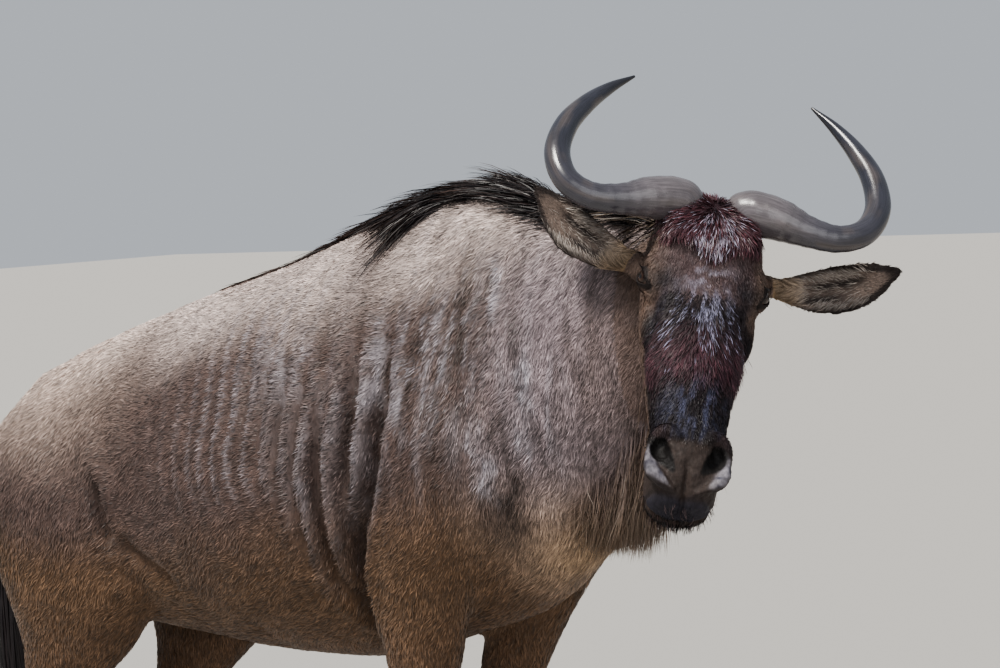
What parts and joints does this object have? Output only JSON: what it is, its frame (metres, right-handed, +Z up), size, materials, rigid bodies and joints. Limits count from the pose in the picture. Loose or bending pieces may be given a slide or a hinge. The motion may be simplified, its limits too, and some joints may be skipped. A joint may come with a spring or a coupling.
{
  "type": "wildebeest",
  "caption": "Life-size standing wildebeest with a sloping back, a mane, a bearded throat and curved horns, its head turned to its right.",
  "frame": {"origin": "middle of the bounding box on the floor between the feet", "axes": "+X along the body towards the chest, +Y to the animal's left, +Z up"},
  "size_m": [1.6558, 0.5422, 1.3919],
  "materials": {
    "coat": "short grey-brown coat with dark upright stripes on the neck and shoulders",
    "face": "short black coat, reddish brown on the forehead",
    "mane": "long coarse black hair",
    "horn": "dark grey horn, smooth and satin",
    "hoof": "dark worn hoof",
    "eye": "wet dark brown"
  },
  "bodies": {
    "root": {"torso": "coat", "neck": "coat", "head": "face", "ear_left": "coat", "ear_right": "coat", "tail": "mane", "leg_front_left": "coat", "leg_front_right": "coat", "leg_hind_left": "coat", "leg_hind_right": "coat", "horn_left": "horn", "horn_right": "horn", "eye_left": "eye", "eye_right": "eye", "hoof_front_left_inner": "hoof", "hoof_front_left_outer": "hoof", "hoof_front_right_inner": "hoof", "hoof_front_right_outer": "hoof", "hoof_hind_left_inner": "hoof", "hoof_hind_left_outer": "hoof", "hoof_hind_right_inner": "hoof", "hoof_hind_right_outer": "hoof"}
  },
  "joints": []
}
